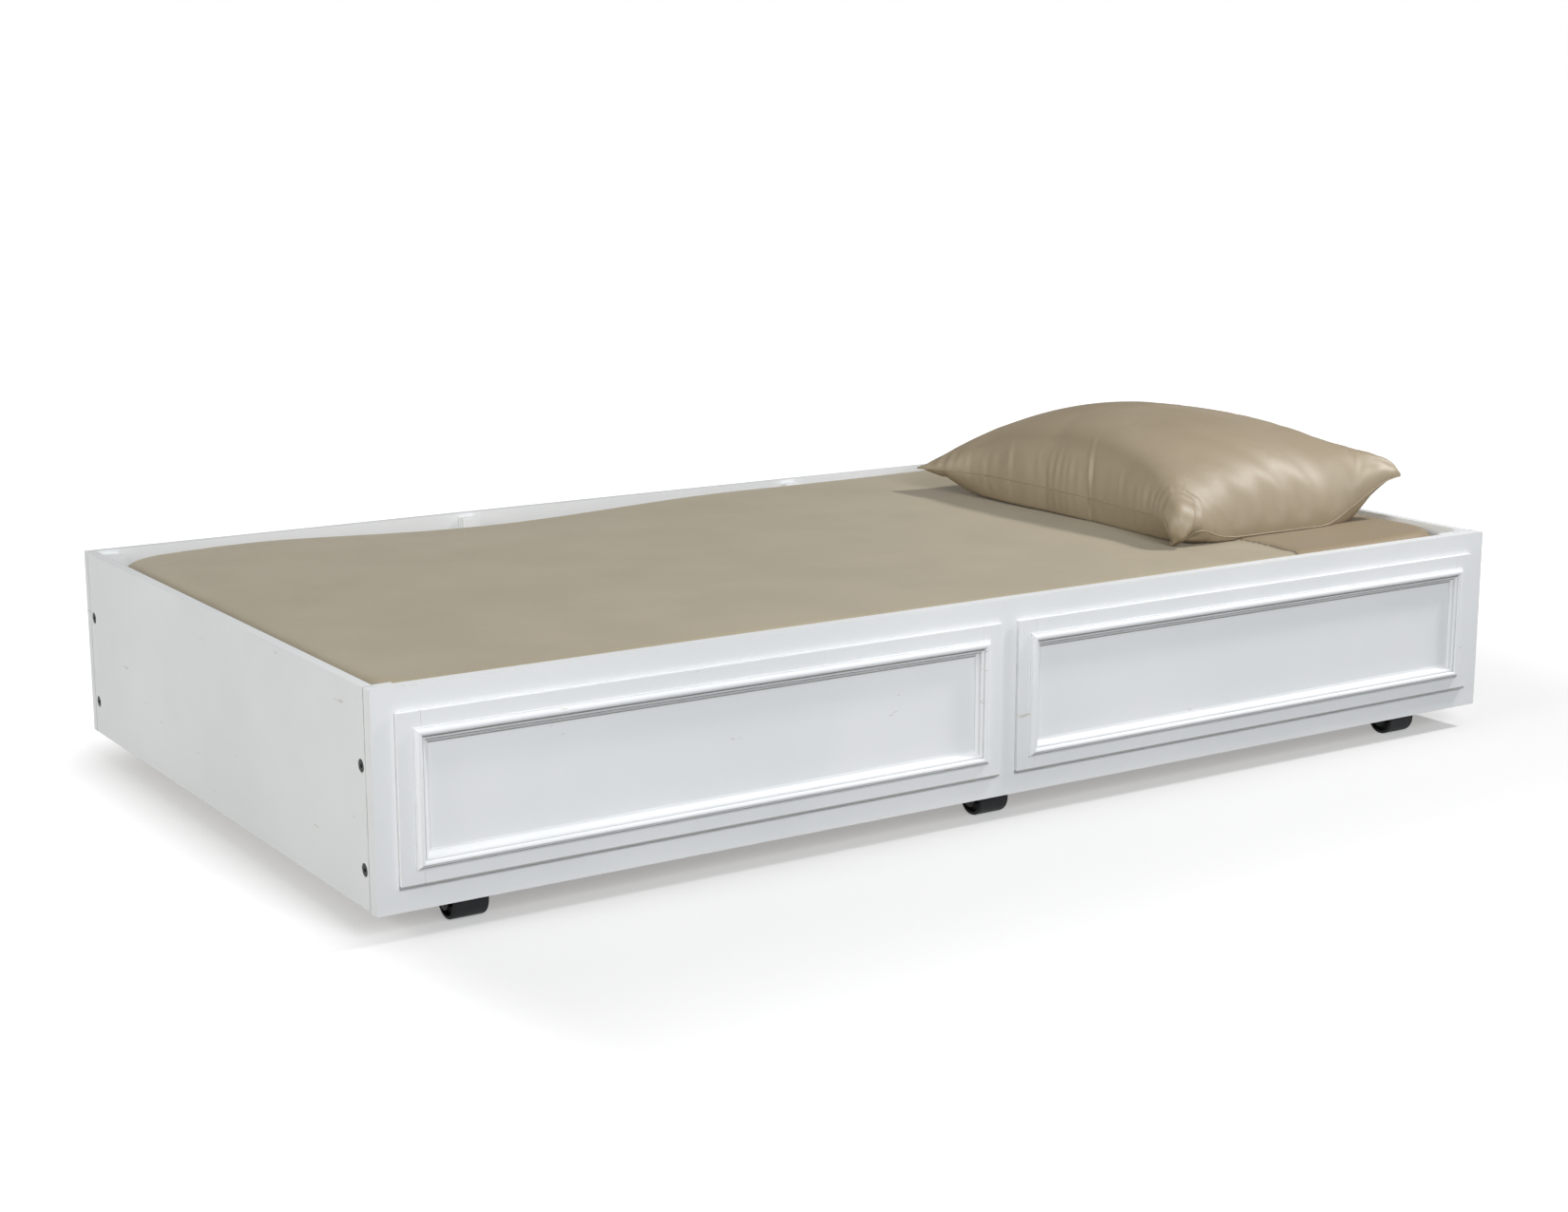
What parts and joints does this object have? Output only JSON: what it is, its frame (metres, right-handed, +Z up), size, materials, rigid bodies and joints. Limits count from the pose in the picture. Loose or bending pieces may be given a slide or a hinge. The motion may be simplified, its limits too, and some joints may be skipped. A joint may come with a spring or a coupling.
{
  "type": "trundle bed",
  "caption": "Low painted trundle bed: a board box with raised moulded front frames on wide floor rollers, with slats, a sheeted mattress and a pillow.",
  "frame": {"origin": "on the floor, under the middle of the bed's bounding box", "axes": "+X along the bed towards the pillow end, +Y from the panelled front to the back, +Z up"},
  "size_m": [1.93, 1.0794, 0.4913],
  "materials": {
    "white_paint": "satin",
    "raw_pine": "matte",
    "bracket_steel": "satin",
    "axle_steel": "satin",
    "roller_nylon": "satin",
    "bolt_black": "satin",
    "zinc_steel": "satin",
    "mattress_ticking": "matte",
    "sheet_satin": "satin",
    "pillow_satin": "satin"
  },
  "bodies": {
    "root": {"back_ledger": "raw_pine", "back_rail": "white_paint", "beam_screws": "zinc_steel", "board_screws": "zinc_steel", "bracket_screws": "zinc_steel", "connector_bolts": "bolt_black", "corner_block_back_foot": "white_paint", "corner_block_back_head": "white_paint", "corner_block_front_foot": "white_paint", "corner_block_front_head": "white_paint", "end_panel_foot": "white_paint", "end_panel_head": "white_paint", "front_board": "white_paint", "front_ledger": "raw_pine", "moulding_foot": "white_paint", "moulding_head": "white_paint", "overlay_frame_foot": "white_paint", "overlay_frame_head": "white_paint", "roller_axle_back_foot": "axle_steel", "roller_axle_back_head": "axle_steel", "roller_axle_back_middle": "axle_steel", "roller_axle_front_foot": "axle_steel", "roller_axle_front_head": "axle_steel", "roller_axle_front_middle": "axle_steel", "roller_beam_foot": "raw_pine", "roller_beam_head": "raw_pine", "roller_beam_middle": "raw_pine", "roller_bracket_back_foot": "bracket_steel", "roller_bracket_back_head": "bracket_steel", "roller_bracket_back_middle": "bracket_steel", "roller_bracket_front_foot": "bracket_steel", "roller_bracket_front_head": "bracket_steel", "roller_bracket_front_middle": "bracket_steel", "side_block_back_foot": "white_paint", "side_block_back_head": "white_paint", "side_block_front_foot": "white_paint", "side_block_front_head": "white_paint", "slat_01": "raw_pine", "slat_02": "raw_pine", "slat_03": "raw_pine", "slat_04": "raw_pine", "slat_05": "raw_pine", "slat_06": "raw_pine", "slat_07": "raw_pine", "slat_08": "raw_pine", "slat_09": "raw_pine", "slat_10": "raw_pine", "slat_11": "raw_pine", "slat_12": "raw_pine", "slat_screws": "zinc_steel", "threaded_inserts": "zinc_steel"},
    "mattress_body": {"mattress": "mattress_ticking", "fitted_sheet": "sheet_satin"},
    "pillow_body": {"pillow": "pillow_satin"},
    "roller_back_foot_wheel": {"roller_back_foot": "roller_nylon"},
    "roller_back_head_wheel": {"roller_back_head": "roller_nylon"},
    "roller_back_middle_wheel": {"roller_back_middle": "roller_nylon"},
    "roller_front_foot_wheel": {"roller_front_foot": "roller_nylon"},
    "roller_front_head_wheel": {"roller_front_head": "roller_nylon"},
    "roller_front_middle_wheel": {"roller_front_middle": "roller_nylon"}
  },
  "joints": [
    {"name": "mattress_lift", "type": "slide", "parent": "root", "child": "mattress_body", "axis": [0, 0, 1], "range_m": [0, 0.35]},
    {"name": "pillow_lift", "type": "slide", "parent": "mattress_body", "child": "pillow_body", "axis": [0, 0, 1], "range_m": [0, 0.3]},
    {"name": "roller_back_foot_spin", "type": "hinge", "parent": "root", "child": "roller_back_foot_wheel", "pos_m": [-0.827, 0.49575, 0.0254], "axis": [1, 0, 0], "continuous": true},
    {"name": "roller_back_head_spin", "type": "hinge", "parent": "root", "child": "roller_back_head_wheel", "pos_m": [0.827, 0.49575, 0.0254], "axis": [1, 0, 0], "continuous": true},
    {"name": "roller_back_middle_spin", "type": "hinge", "parent": "root", "child": "roller_back_middle_wheel", "pos_m": [0, 0.49575, 0.0254], "axis": [1, 0, 0], "continuous": true},
    {"name": "roller_front_foot_spin", "type": "hinge", "parent": "root", "child": "roller_front_foot_wheel", "pos_m": [-0.827, -0.47925, 0.0254], "axis": [1, 0, 0], "continuous": true},
    {"name": "roller_front_head_spin", "type": "hinge", "parent": "root", "child": "roller_front_head_wheel", "pos_m": [0.827, -0.47925, 0.0254], "axis": [1, 0, 0], "continuous": true},
    {"name": "roller_front_middle_spin", "type": "hinge", "parent": "root", "child": "roller_front_middle_wheel", "pos_m": [0, -0.47925, 0.0254], "axis": [1, 0, 0], "continuous": true}
  ]
}
